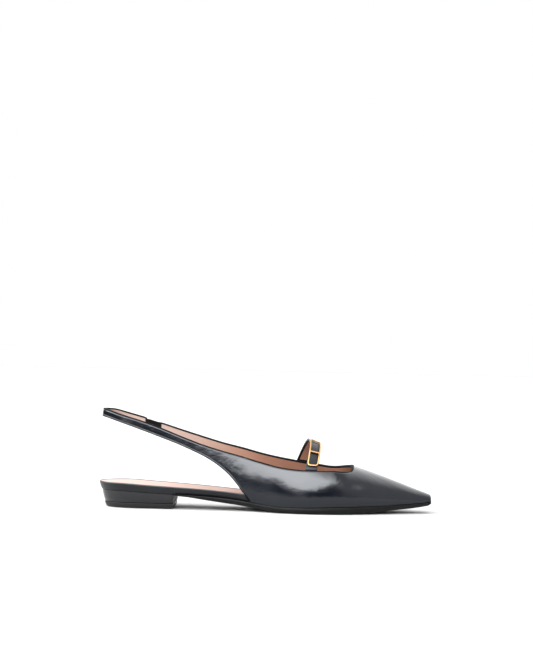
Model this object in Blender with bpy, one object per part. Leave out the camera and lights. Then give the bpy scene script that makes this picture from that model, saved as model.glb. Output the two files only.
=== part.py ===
"""Pointed sling back flat for the right foot, built piece by piece.

Units are metres. +Z is up and the floor is z = 0. The toe points along +X.
The lateral (little toe) side is -Y and the medial (big toe) side is +Y.
"""

import math
from collections import namedtuple

import bmesh
import bpy
from mathutils import Vector

# Overall sizes
SHOE_LENGTH = 0.2706
BALL_WIDTH = 0.075
WAIST_WIDTH = 0.0434
SEAT_WIDTH = 0.051
TOE_WIDTH = 0.0124
CORNER_RADIUS = 0.0022
TIP_ROUND = 1.0

# Heights above the floor
SEAT_HEIGHT = 0.0144
BOARD_HEIGHT = 0.0211
COLLAR_HEIGHT = 0.0800
INSTEP_HEIGHT = 0.0570

# Upper
UPPER_WIDTH = 0.0784
UPPER_WALL = 0.0018
TIP_WALL = 0.0013
TIP_WALL_RUN = 0.012
FEATHER_SET = 0.0005
THROAT_START = 0.1860
THROAT_FRONT = 0.2058
LATERAL_THROAT_POWER = 12.0
MEDIAL_THROAT_POWER = 4.0

# Sling strap
LOOP_WIDTH = 0.044
LOOP_ROUND = 0.024
STRAP_BACK = 0.0010
STRAP_LEAN = 0.13
ELASTIC_START = 0.0356
ELASTIC_LENGTH = 0.0104
ELASTIC_THICKNESS = 0.0013
ELASTIC_INSET = 0.0008

# Instep strap and its plain metal frame
INSTEP_STRAP_WIDTH = 0.0092
INSTEP_STRAP_THICKNESS = 0.0016
INSTEP_STRAP_CENTRE = 0.1747
INSTEP_STRAP_SLANT = -0.0042
INSTEP_STRAP_BOW = -0.0057
INSTEP_STRAP_SEAT = 0.0005
FRAME_WIDTH = 0.0089
FRAME_LENGTH = 0.0330
FRAME_WIRE = 0.0011
FRAME_THICKNESS = 0.0013
FRAME_FOOT = 0.0029
FRAME_OFFSET = 0.0006
FRAME_BAR_PLACE = 0.0132

# Sole, heel and insole
HEEL_FRONT = 0.0637
BREAST_SLOPE = 0.0021
HEEL_ROUND = 0.030
TOP_LIFT_THICKNESS = 0.0043
BAND_TAPER = 0.0019
BLOCK_SETBACK = 0.0005
HEEL_TAPER = 0.0022
LIFT_TAPER = 0.0014
LIFT_ROUND = 0.0015
EDGE_BEVEL = 0.0004
SOLE_BEVEL_WIDTH = 0.0026
SOLE_BEVEL_SHARE = 0.52
TOE_BEVEL_START = 0.90
TOE_BEVEL_SHARE = 0.45
SOCK_THICKNESS = 0.0008
SOCK_INSET = 0.0010
BOARD_TOE_SPACE = 0.0106
SOCK_TOE_SET = 0.0025
SOCK_NARROWING = 0.016
SOCK_NARROWING_RUN = 0.012
BAND_END_LEAD = 0.0064
BAND_END_SLANT = 0.0050
BAND_STEP = 0.0006
TOE_EASE = 0.0008
TOE_EASE_START = 0.190
TOE_EASE_RUN = 0.035
GAP = 0.0003

# Rows of the upper's wall, from its lower edge to its upper edge
WALL_ROWS = (0.0, 0.06, 0.13, 0.22, 0.33, 0.44, 0.56, 0.67, 0.78, 0.89, 1.0)
MARGIN_ROW = 4
HIP_SHARE = 0.75

# Ribs of the upper: least step beside a free end, step past the back cut's
# foot, and the shares of the way to that foot where their spacing changes
RIB_STEP = 0.004
FOOT_RIB_STEP = 0.0035
STRAP_RIBS_END = 0.72
CURVE_RIBS_START = 0.78
CURVE_RIBS_END = 0.90
STEEP_RIBS_START = 0.925

# Ribs of the vamp: their number on each side, how much closer they stand
# towards the tip, the share of the throat that they reach, and the places
# across the tip of the ribs between them
VAMP_RIBS = 22
VAMP_CROWDING = 1.25
FRONT_SHARE = 0.88
FRONT_CORNER = 0.8
TIP_RIBS = (-0.93, -0.86, -0.8, -0.6, -0.4, -0.2, 0.0, 0.2, 0.4, 0.6, 0.8, 0.86, 0.93)

# Rings of the sole's pieces: first angle round the back of the seat, and first
# place round the toe's corner
SEAT_RING_START = math.radians(6.0)
CORNER_RING_START = 1.25

# Rounded ends of the strap's frame: distance from the end in wires, and share
# of the half width there
FrameEnd = namedtuple("FrameEnd", "wires width")
FRAME_END = (
    FrameEnd(0.00, 0.48),
    FrameEnd(0.30, 0.70),
    FrameEnd(1.00, 0.88),
    FrameEnd(2.10, 0.97),
    FrameEnd(3.00, 1.00),
)
FRAME_SIDE_START = 4.0

# Faces that meet at less than this angle are shaded as one surface
SMOOTH_ANGLE = math.radians(35.0)

# Half widths of the sole's edge: share of the shoe's length, the width that
# the row follows, and the lateral and medial shares of that width.
Plan = namedtuple("Plan", "at width lateral medial")
SOLE_PLAN = (
    Plan(0.100, SEAT_WIDTH, 0.500, 0.500),
    Plan(0.165, SEAT_WIDTH, 0.495, 0.490),
    Plan(0.240, SEAT_WIDTH, 0.475, 0.458),
    Plan(0.330, WAIST_WIDTH, 0.541, 0.462),
    Plan(0.405, WAIST_WIDTH, 0.565, 0.435),
    Plan(0.480, BALL_WIDTH, 0.385, 0.285),
    Plan(0.550, BALL_WIDTH, 0.457, 0.390),
    Plan(0.605, BALL_WIDTH, 0.494, 0.467),
    Plan(0.645, BALL_WIDTH, 0.500, 0.497),
    Plan(0.672, BALL_WIDTH, 0.492, 0.500),
    Plan(0.715, BALL_WIDTH, 0.462, 0.484),
    Plan(0.765, BALL_WIDTH, 0.413, 0.445),
    Plan(0.820, BALL_WIDTH, 0.340, 0.375),
    Plan(0.875, BALL_WIDTH, 0.257, 0.297),
    Plan(0.930, BALL_WIDTH, 0.166, 0.214),
    Plan(0.970, BALL_WIDTH, 0.100, 0.158),
    Plan(1.000, TOE_WIDTH, 0.300, 0.700),
)

# Half widths of the upper at its widest line, in the same form.
UPPER_PLAN = (
    Plan(0.080, LOOP_WIDTH, 0.500, 0.500),
    Plan(0.130, LOOP_WIDTH, 0.500, 0.500),
    Plan(0.250, LOOP_WIDTH, 0.535, 0.525),
    Plan(0.360, WAIST_WIDTH, 0.592, 0.545),
    Plan(0.450, WAIST_WIDTH, 0.655, 0.560),
    Plan(0.520, UPPER_WIDTH, 0.415, 0.362),
    Plan(0.580, UPPER_WIDTH, 0.474, 0.446),
    Plan(0.640, UPPER_WIDTH, 0.500, 0.490),
    Plan(0.672, UPPER_WIDTH, 0.493, 0.500),
    Plan(0.720, UPPER_WIDTH, 0.462, 0.484),
    Plan(0.770, UPPER_WIDTH, 0.410, 0.441),
    Plan(0.825, UPPER_WIDTH, 0.337, 0.371),
    Plan(0.875, UPPER_WIDTH, 0.260, 0.299),
    Plan(0.930, UPPER_WIDTH, 0.169, 0.216),
    Plan(0.970, UPPER_WIDTH, 0.102, 0.158),
    Plan(1.000, TOE_WIDTH, 0.310, 0.710),
)

# Height of the ridge and of the widest line, as shares of the instep's height.
# Behind the throat the ridge is that of the foot which the walls lean to.
Profile = namedtuple("Profile", "at ridge hip")
UPPER_PROFILE = (
    Profile(0.080, 2.500, 0.870),
    Profile(0.160, 2.500, 0.800),
    Profile(0.250, 2.300, 0.640),
    Profile(0.360, 1.780, 0.430),
    Profile(0.450, 1.430, 0.300),
    Profile(0.520, 1.260, 0.250),
    Profile(0.580, 1.130, 0.228),
    Profile(0.648, 1.000, 0.228),
    Profile(0.680, 0.945, 0.232),
    Profile(0.703, 0.893, 0.236),
    Profile(0.735, 0.775, 0.238),
    Profile(0.761, 0.670, 0.238),
    Profile(0.803, 0.610, 0.236),
    Profile(0.853, 0.530, 0.222),
    Profile(0.901, 0.446, 0.208),
    Profile(0.950, 0.354, 0.196),
    Profile(0.975, 0.309, 0.190),
    Profile(1.000, 0.268, 0.188),
)

# Height of the upper's top edge, as shares of the collar's height at the back.
Collar = namedtuple("Collar", "at lateral medial")
COLLAR = (
    Collar(0.0075, 1.000, 1.000),
    Collar(0.031, 0.985, 0.993),
    Collar(0.064, 0.953, 0.963),
    Collar(0.126, 0.895, 0.908),
    Collar(0.187, 0.826, 0.843),
    Collar(0.248, 0.747, 0.779),
    Collar(0.309, 0.672, 0.718),
    Collar(0.369, 0.612, 0.661),
    Collar(0.430, 0.560, 0.614),
    Collar(0.489, 0.506, 0.561),
    Collar(0.549, 0.460, 0.516),
    Collar(0.609, 0.439, 0.480),
    Collar(0.668, 0.434, 0.449),
    Collar(0.700, 0.430, 0.437),
    Collar(0.765, 0.421, 0.442),
)

# Height of the sling's lower edge and of the quarter's back cut on the lateral
# side, as shares of the collar's height at the back.
Cut = namedtuple("Cut", "at height")
BACK_CUT = (
    Cut(0.0075, 0.920),
    Cut(0.032, 0.902),
    Cut(0.064, 0.869),
    Cut(0.126, 0.800),
    Cut(0.187, 0.727),
    Cut(0.248, 0.653),
    Cut(0.285, 0.600),
    Cut(0.333, 0.526),
    Cut(0.381, 0.415),
    Cut(0.406, 0.338),
    Cut(0.430, 0.236),
    Cut(0.442, 0.184),
    Cut(0.453, 0.144),
    Cut(0.464, 0.098),
)

# Height of the outsole's top and underside, as shares of the seat's height.
SoleSide = namedtuple("SoleSide", "at top underside")
SOLE_SIDE = (
    SoleSide(0.235, 0.829, 0.757),
    SoleSide(0.265, 0.829, 0.722),
    SoleSide(0.297, 0.806, 0.645),
    SoleSide(0.340, 0.764, 0.530),
    SoleSide(0.387, 0.699, 0.425),
    SoleSide(0.440, 0.590, 0.306),
    SoleSide(0.492, 0.445, 0.167),
    SoleSide(0.548, 0.347, 0.014),
    SoleSide(0.570, 0.340, 0.000),
    SoleSide(0.620, 0.340, 0.000),
    SoleSide(0.690, 0.386, 0.000),
    SoleSide(0.752, 0.413, 0.000),
    SoleSide(0.790, 0.434, 0.056),
    SoleSide(0.848, 0.465, 0.150),
    SoleSide(0.892, 0.507, 0.235),
    SoleSide(0.950, 0.568, 0.335),
    SoleSide(1.000, 0.620, 0.475),
)

# Height of the insole board's top, as shares of its height at the back.
BoardTop = namedtuple("BoardTop", "at height")
BOARD_TOP = (
    BoardTop(0.000, 1.000),
    BoardTop(0.080, 0.990),
    BoardTop(0.145, 0.942),
    BoardTop(0.235, 0.880),
    BoardTop(0.340, 0.802),
    BoardTop(0.440, 0.690),
    BoardTop(0.520, 0.548),
    BoardTop(0.590, 0.456),
    BoardTop(0.650, 0.436),
    BoardTop(0.740, 0.451),
    BoardTop(0.850, 0.500),
    BoardTop(1.000, 0.590),
)

# Underside of the board over the heel, as shares of the seat's height.
SeatLine = namedtuple("SeatLine", "at height")
SEAT_LINE = (
    SeatLine(0.000, 1.000),
    SeatLine(0.080, 0.985),
    SeatLine(0.160, 0.910),
    SeatLine(0.235, 0.850),
)


def table_curve(rows, column):
    """Smooth curve through one column of a table, which never overshoots its rows."""
    places = [row.at for row in rows]
    values = [column(row) for row in rows]
    steps = [right - left for left, right in zip(places, places[1:])]
    slopes = [(right - left) / step for left, right, step in zip(values, values[1:], steps)]
    tangents = [slopes[0]]
    for left, right in zip(slopes, slopes[1:]):
        same_way = left * right > 0.0
        tangents.append(2.0 * left * right / (left + right) if same_way else 0.0)
    tangents.append(slopes[-1])

    def value(place):
        place = min(max(place, places[0]), places[-1])
        span = max(index for index in range(len(steps)) if place >= places[index])
        t = (place - places[span]) / steps[span]
        start, end = values[span], values[span + 1]
        pull = steps[span] * ((1.0 - t) * tangents[span] - t * tangents[span + 1])
        rise = t * t * (3.0 - 2.0 * t)
        return start + (end - start) * rise + t * (1.0 - t) * pull

    return value


sole_lateral = table_curve(SOLE_PLAN, lambda row: row.width * row.lateral)
sole_medial = table_curve(SOLE_PLAN, lambda row: row.width * row.medial)
upper_lateral = table_curve(UPPER_PLAN, lambda row: row.width * row.lateral)
upper_medial = table_curve(UPPER_PLAN, lambda row: row.width * row.medial)
ridge_height = table_curve(UPPER_PROFILE, lambda row: INSTEP_HEIGHT * row.ridge)
hip_height = table_curve(UPPER_PROFILE, lambda row: INSTEP_HEIGHT * row.hip)
collar_lateral = table_curve(COLLAR, lambda row: COLLAR_HEIGHT * row.lateral)
collar_medial = table_curve(COLLAR, lambda row: COLLAR_HEIGHT * row.medial)
cut_lateral = table_curve(BACK_CUT, lambda row: COLLAR_HEIGHT * row.height)
sole_top = table_curve(SOLE_SIDE, lambda row: SEAT_HEIGHT * row.top)
sole_underside = table_curve(SOLE_SIDE, lambda row: SEAT_HEIGHT * row.underside)
board_top = table_curve(BOARD_TOP, lambda row: BOARD_HEIGHT * row.height)
seat_line = table_curve(SEAT_LINE, lambda row: SEAT_HEIGHT * row.height)

BACK_CUT_FOOT = BACK_CUT[-1].at * SHOE_LENGTH
BAND_END = BACK_CUT_FOOT - BAND_END_LEAD
BOARD_END = SHOE_LENGTH - BOARD_TOE_SPACE
SOCK_END = BOARD_END - SOCK_TOE_SET

LATERAL = -1
MEDIAL = 1


def spread(start, end, count):
    """Evenly spaced values from start to end, both included."""
    return [start + (end - start) * step / (count - 1) for step in range(count)]


def mix(first, second, share):
    return first + (second - first) * share


Station = namedtuple("Station", "x centre half_width feather_lateral feather_medial ridge hip feather")


def toe_corner(place):
    """Place along the shoe as x, its share of the length and how far the toe's corner sets in.

    Places 0 to 1 run from the heel to the start of the toe's corner, and 1 to
    2 round that corner.
    """
    straight = min(place, 1.0) * (SHOE_LENGTH - CORNER_RADIUS)
    turn = min(max(place - 1.0, 0.0), 1.0) * math.pi / 2.0
    x = straight + CORNER_RADIUS * math.sin(turn)
    return x, straight / SHOE_LENGTH, CORNER_RADIUS * (1.0 - math.cos(turn))


def station(place):
    """The last's cross-section at a place along the shoe.

    Places 2 to 3 run down the small flat face of the tip.
    """
    x, at, shrink = toe_corner(place)
    drop = min(max(place - 2.0, 0.0), 0.98)
    feather = sole_top(x / SHOE_LENGTH) + GAP
    foot_lateral = sole_lateral(at) - shrink - FEATHER_SET
    foot_medial = sole_medial(at) - shrink - FEATHER_SET
    lateral = mix(upper_lateral(at) - shrink, foot_lateral, drop)
    medial = mix(upper_medial(at) - shrink, foot_medial, drop)
    ridge = mix(ridge_height(at) - shrink * TIP_ROUND, feather, drop)
    hip = mix(hip_height(at), feather, drop)
    return Station(
        x=x,
        centre=(medial - lateral) / 2.0,
        half_width=(medial + lateral) / 2.0,
        feather_lateral=foot_lateral,
        feather_medial=foot_medial,
        ridge=ridge,
        hip=hip,
        feather=feather,
    )


def last_point(place, around, depth=0.0):
    """Point of the last's surface, or of one a depth inside it.

    Around is -1 at the lateral feather line, 0 on the ridge and 1 at the
    medial feather line.
    """
    here = station(place)
    side = MEDIAL if around >= 0.0 else LATERAL
    half = here.half_width - depth
    top = here.ridge - depth
    if abs(around) <= HIP_SHARE:
        angle = (1.0 - abs(around) / HIP_SHARE) * math.pi / 2.0
        y = here.centre + side * half * math.cos(angle)
        z = here.hip + (top - here.hip) * math.sin(angle)
        return Vector((here.x, y, z))
    below = (abs(around) - HIP_SHARE) / (1.0 - HIP_SHARE)
    feather_y = here.feather_medial if side == MEDIAL else -here.feather_lateral
    hip_y = here.centre + side * half
    y = mix(hip_y, feather_y - side * depth, below * below)
    return Vector((here.x, y, mix(here.hip, here.feather, below)))


def place_of(x):
    return x / (SHOE_LENGTH - CORNER_RADIUS)


def around_at_height(place, side, height):
    """The share around the last at which its surface has a given height."""
    here = station(place)
    if height >= here.hip:
        angle = math.asin(min((height - here.hip) / (here.ridge - here.hip), 1.0))
        return side * HIP_SHARE * (1.0 - angle / (math.pi / 2.0))
    below = (here.hip - height) / (here.hip - here.feather)
    return side * mix(HIP_SHARE, 1.0, min(below, 1.0))


def collar_height(x, side):
    curve = collar_medial if side == MEDIAL else collar_lateral
    return curve(x / SHOE_LENGTH)


def lower_edge(x, side):
    """Height of the sling's lower edge, the quarter's back cut or the feather line."""
    share = x / SHOE_LENGTH
    lift = collar_height(x, side) - collar_lateral(share)
    feather = station(place_of(x)).feather
    if share > BACK_CUT[-1].at:
        return feather
    foot = min((BACK_CUT[-1].at - share) / (BACK_CUT[-1].at - BACK_CUT[-4].at), 1.0)
    return max(cut_lateral(share) + lift * foot, feather)


def side_rib(x, side):
    """Points of the wall at one place along its side, from the lower edge up."""
    place = place_of(x)
    low = around_at_height(place, side, lower_edge(x, side))
    high = around_at_height(place, side, collar_height(x, side))
    return [last_point(place, mix(low, high, row)) for row in WALL_ROWS]


def loop_rib(turn, rows=WALL_ROWS, inset=0.0, depth=0.0):
    """Points of the sling round the heel; turn is 0 on the lateral side and pi on the medial."""
    side = LATERAL if turn < math.pi / 2.0 else MEDIAL
    x = LOOP_ROUND - (LOOP_ROUND - STRAP_BACK) * math.sin(turn)
    low = lower_edge(x, side) + inset
    high = collar_height(x, side) - inset
    points = []
    for row in rows:
        z = mix(low, high, row)
        edge = last_point(place_of(LOOP_ROUND), around_at_height(place_of(LOOP_ROUND), side, z))
        back = STRAP_BACK + STRAP_LEAN * (z - low)
        x = LOOP_ROUND - (LOOP_ROUND - back - depth) * math.sin(turn)
        points.append(Vector((x, -(abs(edge.y) - depth) * math.cos(turn), z)))
    return points


def throat_line(side, count=160):
    """Throat's edge from its side to its front: length so far, place and share around.

    It keeps the collar's height along its side and turns over to the ridge at
    its front, through a round corner.
    """
    power = LATERAL_THROAT_POWER if side == LATERAL else MEDIAL_THROAT_POWER
    line = []
    length = 0.0
    before = None
    for angle in spread(0.0, math.pi / 2.0, count):
        x = THROAT_START + (THROAT_FRONT - THROAT_START) * math.sin(angle) ** (2.0 / power)
        place = place_of(x)
        around = around_at_height(place, side, collar_height(x, side))
        around *= max(math.cos(angle), 0.0) ** (2.0 / power)
        point = last_point(place, around)
        length += (point - before).length if before else 0.0
        before = point
        line.append((length, place, around))
    return line


THROAT_LINES = {side: throat_line(side) for side in (LATERAL, MEDIAL)}


def throat_point(side, share):
    """Place and share around at a share of the throat's length, from its side (0) to its front (1)."""
    line = THROAT_LINES[side]
    wanted = share * line[-1][0]
    after = next((index for index, spot in enumerate(line) if spot[0] >= wanted), len(line) - 1)
    if after == 0:
        return line[0][1:]
    left, right = line[after - 1], line[after]
    part = (wanted - left[0]) / max(right[0] - left[0], 1e-9)
    return mix(left[1], right[1], min(part, 1.0)), mix(left[2], right[2], min(part, 1.0))


def fan_rib(outer, margin, inner):
    """A rib of the vamp through three spots, each a place and a share around."""
    points = []
    for index, row in enumerate(WALL_ROWS):
        if index <= MARGIN_ROW:
            share = index / MARGIN_ROW
            place = mix(outer[0], margin[0], share)
            around = mix(outer[1], margin[1], share)
        else:
            share = (row - WALL_ROWS[MARGIN_ROW]) / (1.0 - WALL_ROWS[MARGIN_ROW])
            place = mix(margin[0], inner[0], share)
            around = mix(margin[1], inner[1], share)
        points.append(last_point(place, around))
    return points


def margin_around(inner_around, side):
    return mix(side, inner_around, WALL_ROWS[MARGIN_ROW])


def vamp_side_ribs(side):
    """Ribs from the feather line to the throat, from the throat's side towards the tip."""
    ribs = []
    for step in range(1, VAMP_RIBS + 1):
        share = step / VAMP_RIBS
        run = 1.0 - (1.0 - share) ** VAMP_CROWDING
        place = mix(place_of(THROAT_START), 1.0, run)
        inner = throat_point(side, share * FRONT_SHARE)
        ribs.append(fan_rib((place, side), (place, margin_around(inner[1], side)), inner))
    return ribs


def vamp_front_ribs():
    """Ribs over the small flat face of the tip, from the lateral corner to the medial."""
    ribs = []
    for across in TIP_RIBS:
        side = MEDIAL if across >= 0.0 else LATERAL
        reach = abs(across)
        inner = throat_point(side, mix(1.0, FRONT_SHARE, reach))
        corner = throat_point(side, FRONT_SHARE)
        margin = abs(margin_around(corner[1], side)) * across
        if reach > FRONT_CORNER:
            outer = (1.0 + (1.0 - reach) / (1.0 - FRONT_CORNER), side)
        else:
            outer = (3.0, HIP_SHARE * across / FRONT_CORNER)
        ribs.append(fan_rib(outer, (1.0, margin), inner))
    return ribs


def quarter_places():
    """Places of the wall's ribs along a side, close together at the back cut's foot."""
    foot = BACK_CUT_FOOT
    strap = spread(LOOP_ROUND, STRAP_RIBS_END * foot, 10)
    curve = spread(CURVE_RIBS_START * foot, CURVE_RIBS_END * foot, 4)
    steep = spread(STEEP_RIBS_START * foot, foot, 6)
    wall = spread(foot + FOOT_RIB_STEP, THROAT_START, 13)
    return strap + curve + steep + wall


def upper_ribs():
    """All ribs of the upper, from the sling's end behind the elastic to its end before it."""
    elastic_front = ELASTIC_START + ELASTIC_LENGTH
    back = [side_rib(x, MEDIAL) for x in spread(ELASTIC_START - GAP, LOOP_ROUND + RIB_STEP, 2)]
    loop = [loop_rib(turn) for turn in spread(math.pi, 0.0, 17)]
    lateral = [side_rib(x, LATERAL) for x in quarter_places()[1:]]
    vamp = vamp_side_ribs(LATERAL) + vamp_front_ribs() + vamp_side_ribs(MEDIAL)[::-1]
    medial_places = [x for x in quarter_places() if x > elastic_front + RIB_STEP]
    medial_places.insert(0, elastic_front + GAP)
    medial = [side_rib(x, MEDIAL) for x in reversed(medial_places)]
    return back + loop + lateral + vamp + medial


def rib_normals(ribs):
    """Outward direction at each point of a strip of ribs."""
    last = len(ribs) - 1
    rows = len(ribs[0]) - 1
    normals = []
    for i, rib in enumerate(ribs):
        line = []
        for j in range(len(rib)):
            along = ribs[min(i + 1, last)][j] - ribs[max(i - 1, 0)][j]
            up = rib[min(j + 1, rows)] - rib[max(j - 1, 0)]
            line.append(along.cross(up).normalized())
        normals.append(line)
    return normals


def new_object(name, build, material):
    """A named object whose mesh is filled by a function and closed with outward faces."""
    mesh = bpy.data.meshes.new(name)
    shape = bmesh.new()
    build(shape)
    bmesh.ops.recalc_face_normals(shape, faces=shape.faces)
    shape.to_mesh(mesh)
    shape.free()
    mesh.materials.append(material)
    mesh.shade_smooth()
    mesh.set_sharp_from_angle(angle=SMOOTH_ANGLE)
    piece = bpy.data.objects.new(name, mesh)
    piece.location.x = -SHOE_LENGTH / 2.0
    bpy.context.scene.collection.objects.link(piece)
    return piece


def strip_shell(outer, inner):
    """Builder for a wall between two strips of ribs, closed along all its edges."""
    def build(shape):
        sheets = [[[shape.verts.new(point) for point in rib] for rib in strip]
                  for strip in (outer, inner)]
        ends = len(outer) - 1
        rows = len(outer[0]) - 1
        for sheet in sheets:
            for i in range(ends):
                for j in range(rows):
                    shape.faces.new((sheet[i][j], sheet[i + 1][j],
                                     sheet[i + 1][j + 1], sheet[i][j + 1]))
        skin, lining = sheets
        for i in range(ends):
            for j in (0, rows):
                shape.faces.new((skin[i][j], skin[i + 1][j], lining[i + 1][j], lining[i][j]))
        for j in range(rows):
            for i in (0, ends):
                shape.faces.new((skin[i][j], skin[i][j + 1], lining[i][j + 1], lining[i][j]))
    return build


def make_upper(material):
    """Vamp, quarters and sling in one hollow wall, open below and at the collar."""
    outer = upper_ribs()
    thinning = SHOE_LENGTH - TIP_WALL_RUN
    inner = []
    for rib, normals in zip(outer, rib_normals(outer)):
        line = []
        for point, normal in zip(rib, normals):
            near_tip = min(max((point.x - thinning) / TIP_WALL_RUN, 0.0), 1.0)
            line.append(point - normal * mix(UPPER_WALL, TIP_WALL, near_tip))
        inner.append(line)
    return new_object("upper", strip_shell(outer, inner), material)


def make_elastic(material):
    """Elastic that joins the sling's two ends on the medial side."""
    rows = spread(0.0, 1.0, 4)
    outer = []
    for x in spread(ELASTIC_START, ELASTIC_START + ELASTIC_LENGTH, 5):
        place = place_of(x)
        low = lower_edge(x, MEDIAL) + ELASTIC_INSET
        high = collar_height(x, MEDIAL) - ELASTIC_INSET
        rise = [around_at_height(place, MEDIAL, mix(low, high, row)) for row in rows]
        depth = (UPPER_WALL - ELASTIC_THICKNESS) / 2.0
        outer.append([last_point(place, around, depth) for around in rise])
    inward = Vector((0.0, -ELASTIC_THICKNESS, 0.0))
    inner = [[point + inward for point in rib] for rib in outer]
    return new_object("elastic", strip_shell(outer, inner), material)


def instep_strap_x(share):
    """Place of the instep strap's middle, from its lateral end (-1) to its medial end (1)."""
    return INSTEP_STRAP_CENTRE + INSTEP_STRAP_SLANT * share + INSTEP_STRAP_BOW * share * share


def instep_strap_around(share, across):
    """Share around the last along the instep strap, which ends on the walls' top edges."""
    side = MEDIAL if share >= 0.0 else LATERAL
    end_x = instep_strap_x(side) + across
    end = around_at_height(place_of(end_x), side, collar_height(end_x, side) + INSTEP_STRAP_SEAT)
    return share * abs(end)


def instep_strap_point(share, across, height):
    """Point over the instep strap's outer face, across it and a height above it."""
    place = place_of(instep_strap_x(share) + across)
    depth = (UPPER_WALL - INSTEP_STRAP_THICKNESS) / 2.0
    return last_point(place, instep_strap_around(share, across), depth - height)


def make_instep_strap(material):
    """Strap over the instep, held in the quarters' top edges at both ends."""
    edges = spread(-INSTEP_STRAP_WIDTH / 2.0, INSTEP_STRAP_WIDTH / 2.0, 4)
    shares = spread(-1.0, 1.0, 33)
    outer = [[instep_strap_point(share, across, 0.0) for across in edges] for share in shares]
    inner = [[instep_strap_point(share, across, -INSTEP_STRAP_THICKNESS) for across in edges]
             for share in shares]
    return new_object("instep_strap", strip_shell(outer, inner), material)


def shares_along_strap(distances):
    """Shares of the instep strap at given distances above the lateral collar."""
    shares = []
    length = 0.0
    before = instep_strap_point(-1.0, 0.0, 0.0)
    wanted = list(distances)
    for share in spread(-1.0, 1.0, 900):
        point = instep_strap_point(share, 0.0, 0.0)
        length += (point - before).length
        before = point
        while wanted and length >= wanted[0]:
            shares.append(share)
            wanted.pop(0)
    return shares


def frame_rows():
    """Distances from the frame's foot and its half width there, with cut corners."""
    half = FRAME_WIDTH / 2.0
    side_start = FRAME_SIDE_START * FRAME_WIRE
    rows = [(FRAME_WIRE * wires, half * width) for wires, width in FRAME_END]
    lower = spread(side_start, FRAME_BAR_PLACE, 4)
    upper = spread(FRAME_BAR_PLACE + FRAME_WIRE, FRAME_LENGTH - side_start, 5)
    rows += [(distance, half) for distance in lower + upper]
    rows += [(FRAME_LENGTH - FRAME_WIRE * wires, half * width)
             for wires, width in reversed(FRAME_END)]
    return rows


def make_strap_frame(material):
    """Plain long frame with one cross bar, lying on the instep strap."""
    rows = frame_rows()
    shares = shares_along_strap([FRAME_FOOT + distance for distance, width in rows])
    bar = min(range(len(rows)), key=lambda index: abs(rows[index][0] - FRAME_BAR_PLACE))

    def spot(index, column, height):
        half = rows[index][1]
        inner = half - FRAME_WIRE
        across = (-half, -inner, inner, half)[column]
        return instep_strap_point(shares[index], across + FRAME_OFFSET, GAP + height)

    def filled(index, column):
        if index < 0 or index >= len(rows) - 1 or column < 0 or column > 2:
            return False
        return column != 1 or index in (0, 1, bar, len(rows) - 3, len(rows) - 2)

    def build(shape):
        levels = [[[shape.verts.new(spot(index, column, height)) for column in range(4)]
                   for index in range(len(rows))] for height in (0.0, FRAME_THICKNESS)]
        under, over = levels
        for index in range(len(rows) - 1):
            for column in range(3):
                if not filled(index, column):
                    continue
                corners = ((index, column), (index + 1, column),
                           (index + 1, column + 1), (index, column + 1))
                beside = ((index, column - 1), (index + 1, column),
                          (index, column + 1), (index - 1, column))
                for level in levels:
                    shape.faces.new([level[i][j] for i, j in corners])
                for number, other in enumerate(beside):
                    if filled(*other):
                        continue
                    i, j = corners[number]
                    k, m = corners[(number + 1) % 4]
                    shape.faces.new((under[i][j], under[k][m], over[k][m], over[i][j]))
        loose = [vertex for vertex in shape.verts if not vertex.link_faces]
        bmesh.ops.delete(shape, geom=loose, context="VERTS")

    return new_object("strap_frame", build, material)


def stacked(rings):
    """Builder for a solid between level rings, each a lateral and a medial line of points."""
    def build(shape):
        loops = [[shape.verts.new(point) for point in lateral + medial[::-1]]
                 for lateral, medial in rings]
        size = len(loops[0])
        for below, above in zip(loops, loops[1:]):
            for i in range(size):
                k = (i + 1) % size
                shape.faces.new((below[i], below[k], above[k], above[i]))
        for loop in (loops[0], loops[-1]):
            for i in range(size // 2 - 1):
                shape.faces.new((loop[i], loop[i + 1], loop[size - 2 - i], loop[size - 1 - i]))
    return build


def seat_line_points(side, inset, front, height, count=7):
    """Points round the back of the seat and on to a front line, set in from its edge."""
    edge = sole_medial if side == MEDIAL else sole_lateral
    points = []
    for turn in spread(SEAT_RING_START, math.pi / 2.0, 11):
        x = HEEL_ROUND - (HEEL_ROUND - inset) * math.cos(turn)
        y = side * (edge(HEEL_ROUND / SHOE_LENGTH) - inset) * math.sin(turn)
        points.append(Vector((x, y, height(x))))
    for x in spread(HEEL_ROUND, front, count)[1:]:
        points.append(Vector((x, side * (edge(x / SHOE_LENGTH) - inset), height(x))))
    return points


def seat_ring(inset, front, height):
    return [seat_line_points(side, inset, front, height) for side in (LATERAL, MEDIAL)]


def heel_top(x):
    return seat_line(x / SHOE_LENGTH) - GAP


def breast_at(height):
    """Front of the heel, which leans back towards the floor."""
    return HEEL_FRONT - BREAST_SLOPE * (1.0 - height / SEAT_HEIGHT)


def make_heel_block(material):
    """Covered heel block between the insole board and the top lift."""
    foot = TOP_LIFT_THICKNESS + GAP
    top_inset = BAND_TAPER + BLOCK_SETBACK
    foot_inset = top_inset + HEEL_TAPER
    middle = (top_inset + foot_inset) / 2.0 - EDGE_BEVEL / 2.0
    rings = [
        seat_ring(foot_inset + EDGE_BEVEL, breast_at(foot) - EDGE_BEVEL, lambda x: foot),
        seat_ring(foot_inset, breast_at(foot), lambda x: foot + EDGE_BEVEL),
        seat_ring(middle, breast_at(SEAT_HEIGHT / 2.0), lambda x: mix(foot, heel_top(x), 0.5)),
        seat_ring(top_inset, breast_at(SEAT_HEIGHT), heel_top),
    ]
    return new_object("heel_block", stacked(rings), material)


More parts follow.
